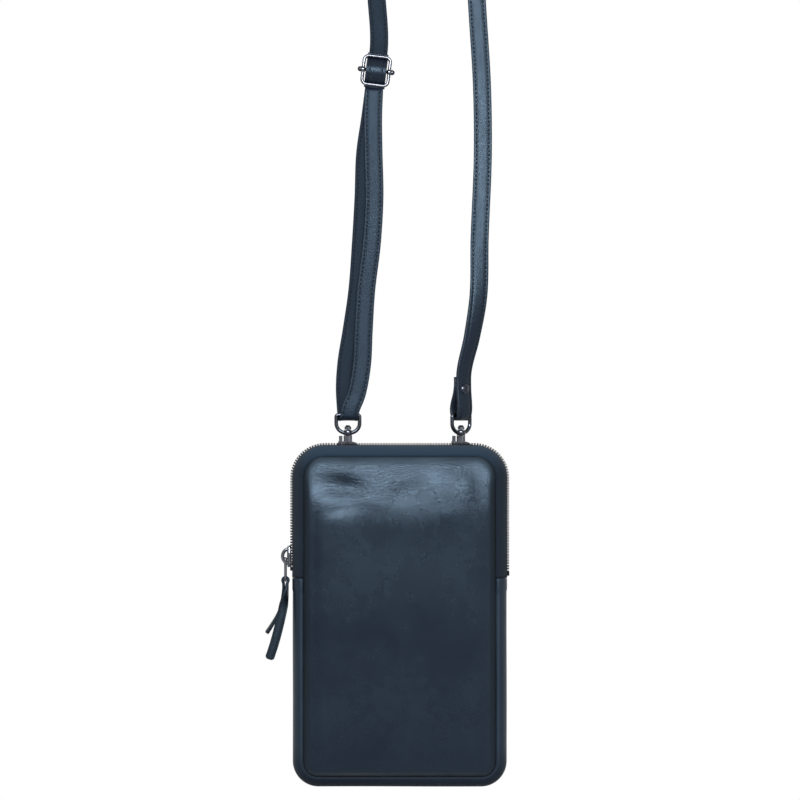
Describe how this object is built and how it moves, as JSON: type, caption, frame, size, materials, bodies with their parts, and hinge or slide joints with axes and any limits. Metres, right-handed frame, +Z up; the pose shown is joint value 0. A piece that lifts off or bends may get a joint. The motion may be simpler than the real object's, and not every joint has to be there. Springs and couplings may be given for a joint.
{
  "type": "phone pouch",
  "caption": "Flat leather phone pouch with a zipped mouth round its top, hung by snap hooks from a long narrow shoulder strap with an adjuster buckle.",
  "frame": {"origin": "inner face of the strap's crown, at its top, where the strap lies on what it hangs from", "axes": "+Z up along the hanging strap, -Y towards the pouch's front, +X to the viewer's right of the front"},
  "size_m": [0.1338, 0.0372, 0.6267],
  "materials": {
    "leather": "smooth dark navy leather, soft sheen",
    "strap_leather": "smooth dark navy leather with edge stitching",
    "lining": "thin dark woven lining",
    "zip_tape": "matte dark woven zip tape",
    "zip_teeth": "dark moulded teeth with a faint shine",
    "nickel": "polished nickel",
    "gunmetal": "dark polished gunmetal"
  },
  "bodies": {
    "strap": {"strap_right_run": "strap_leather", "strap_crown": "strap_leather", "strap_left_run": "strap_leather", "strap_slide_run": "strap_leather", "strap_adjust_run": "strap_leather", "strap_return_run": "strap_leather", "strap_left_fold": "strap_leather", "strap_right_fold": "strap_leather", "strap_rivet": "nickel", "left_swivel_eye": "gunmetal", "right_swivel_eye": "gunmetal"},
    "buckle": {"buckle_frame": "nickel", "buckle_bar": "nickel", "strap_weave": "strap_leather", "strap_return_loop": "strap_leather"},
    "left_hook": {"left_hook_body": "gunmetal", "left_gate_pin": "gunmetal", "left_gate_spring": "gunmetal"},
    "left_gate": {"left_hook_gate": "gunmetal"},
    "right_hook": {"right_hook_body": "gunmetal", "right_gate_pin": "gunmetal", "right_gate_spring": "gunmetal"},
    "right_gate": {"right_hook_gate": "gunmetal"},
    "pouch": {"back_panel": "leather", "front_panel_lower": "leather", "lining_back": "lining", "lining_front_lower": "lining", "gusset": "leather", "zip_tape_back": "zip_tape", "zip_teeth_back": "zip_teeth", "zip_stops": "zip_teeth", "left_tab": "leather", "right_tab": "leather"},
    "front_flap": {"front_panel_upper": "leather", "lining_front_upper": "lining", "zip_tape_front": "zip_tape", "zip_teeth_front": "zip_teeth"},
    "zip_slider": {"zip_slider_body": "nickel"},
    "pull_link": {"zip_link": "nickel"},
    "pull_strip": {"zip_pull": "leather"}
  },
  "joints": [
    {"name": "pouch_swing", "type": "hinge", "parent": "strap", "child": "pouch", "pos_m": [-0.0034, 0, -0.4513], "axis": [1, 0, 0], "range_deg": [-10, 75]},
    {"name": "mouth_fold", "type": "hinge", "parent": "pouch", "child": "front_flap", "pos_m": [-0.006, -0.02405, -0.5111], "axis": [1, 0, 0], "range_deg": [0, 50], "deforming": ["zip_tape_front", "zip_teeth_front"]},
    {"name": "zip_slide", "type": "slide", "parent": "pouch", "child": "zip_slider", "axis": [0, 0, 1], "range_m": [0, 0.036], "deforming": ["zip_teeth_back", "zip_teeth_front"]},
    {"name": "zip_link_swing", "type": "hinge", "parent": "zip_slider", "child": "pull_link", "pos_m": [-0.06825, -0.01405, -0.5004], "axis": [0, 1, 0], "range_deg": [0, 80]},
    {"name": "zip_pull_swing", "type": "hinge", "parent": "pull_link", "child": "pull_strip", "pos_m": [-0.06825, -0.01405, -0.5126], "axis": [0, 1, 0], "range_deg": [0, 45]},
    {"name": "left_hook_swivel", "type": "hinge", "parent": "strap", "child": "left_hook", "pos_m": [-0.0344, 0, -0.437], "axis": [0, 0, 1], "range_deg": [-15, 15]},
    {"name": "left_gate_open", "type": "hinge", "parent": "left_hook", "child": "left_gate", "pos_m": [-0.03835, 0, -0.4385], "axis": [0, -1, 0], "range_deg": [0, 35], "stiffness_Nm_per_rad": 0.01, "springref_deg": -17.19},
    {"name": "right_hook_swivel", "type": "hinge", "parent": "strap", "child": "right_hook", "pos_m": [0.0276, 0, -0.437], "axis": [0, 0, 1], "range_deg": [-15, 15]},
    {"name": "right_gate_open", "type": "hinge", "parent": "right_hook", "child": "right_gate", "pos_m": [0.02365, 0, -0.4385], "axis": [0, -1, 0], "range_deg": [0, 35], "stiffness_Nm_per_rad": 0.01, "springref_deg": -17.19},
    {"name": "buckle_slide", "type": "slide", "parent": "strap", "child": "buckle", "axis": [0, 0, 1], "range_m": [-0.05, 0.05], "deforming": ["strap_slide_run", "strap_adjust_run", "strap_return_run"]}
  ]
}
